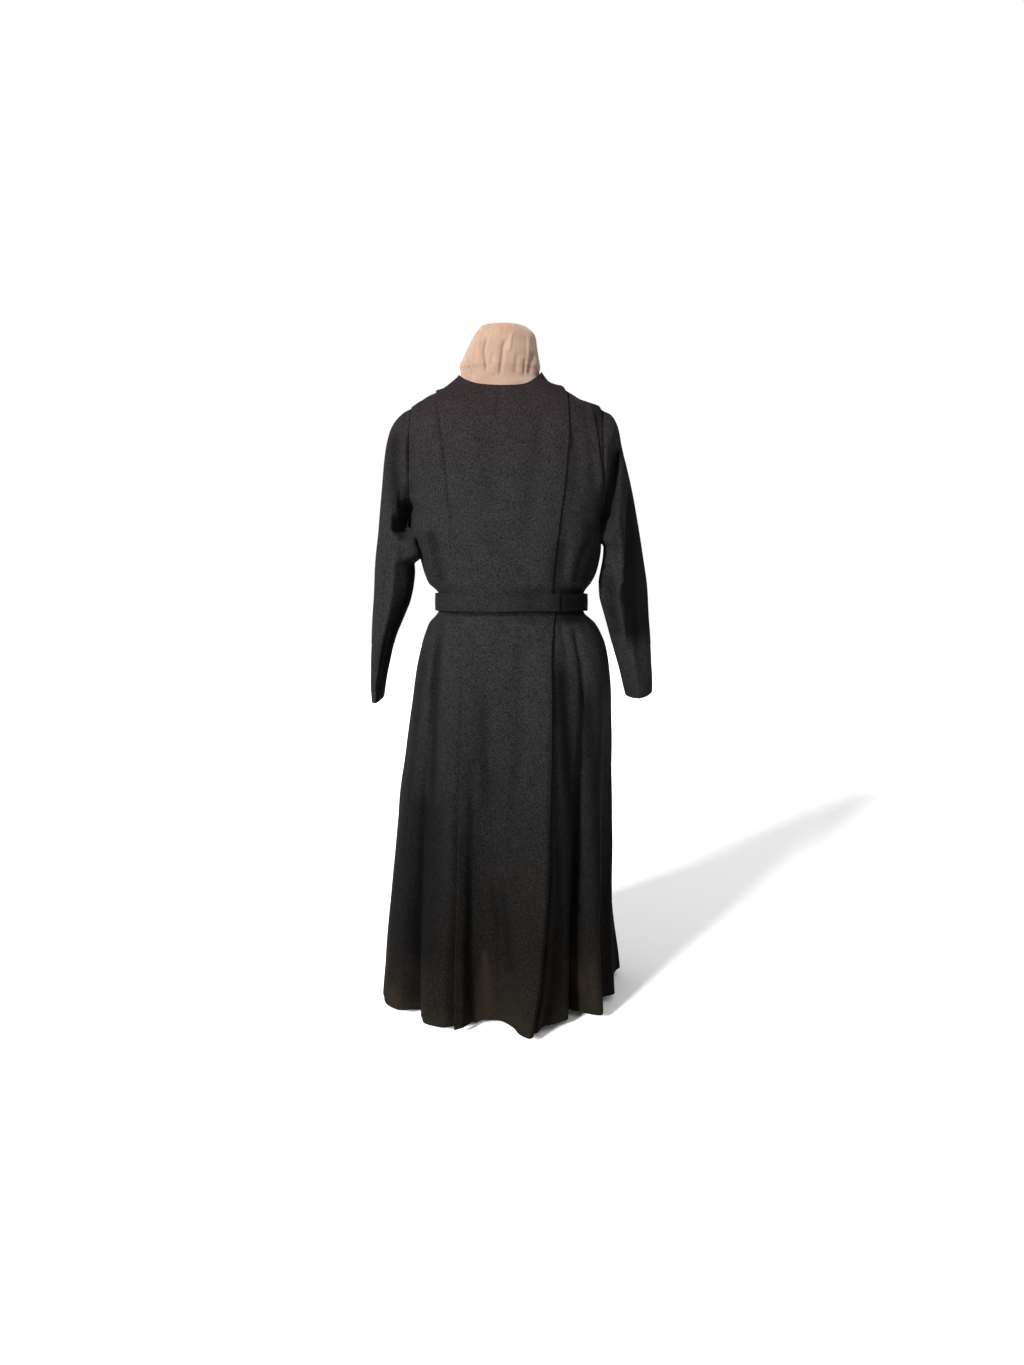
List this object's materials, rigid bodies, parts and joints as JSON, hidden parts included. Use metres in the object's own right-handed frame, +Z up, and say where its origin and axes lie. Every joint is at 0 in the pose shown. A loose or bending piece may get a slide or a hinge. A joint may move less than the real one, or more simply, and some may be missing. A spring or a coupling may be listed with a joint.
{
  "type": "nun habit on a dress form",
  "caption": "Long-sleeved, belted, mid-calf black habit with a round neckline and a flat front panel, on a limbless covered dress form.",
  "frame": {"origin": "middle of the dress form's base on the surface it stands on", "axes": "+Z up along the pole, -Y out of the habit's front, +X towards the viewer's right"},
  "size_m": [0.547, 0.4927, 1.307],
  "materials": {
    "black_crepe": "thin matt black crepe",
    "belt_crepe": "matt black crepe over a stiffener, stitched along its edges",
    "beige_cover": "smooth beige knitted cover",
    "painted_steel": "black satin paint"
  },
  "bodies": {
    "root": {"bodice_front_panel": "black_crepe", "bodice_front_left": "black_crepe", "bodice_front_right": "black_crepe", "bodice_back": "black_crepe", "sleeve_left": "black_crepe", "sleeve_right": "black_crepe", "skirt_front_panel": "black_crepe", "skirt_left": "black_crepe", "skirt_right": "black_crepe", "skirt_back": "black_crepe", "belt": "belt_crepe", "form_body": "beige_cover", "form_pole": "painted_steel", "form_base": "painted_steel"}
  },
  "joints": []
}
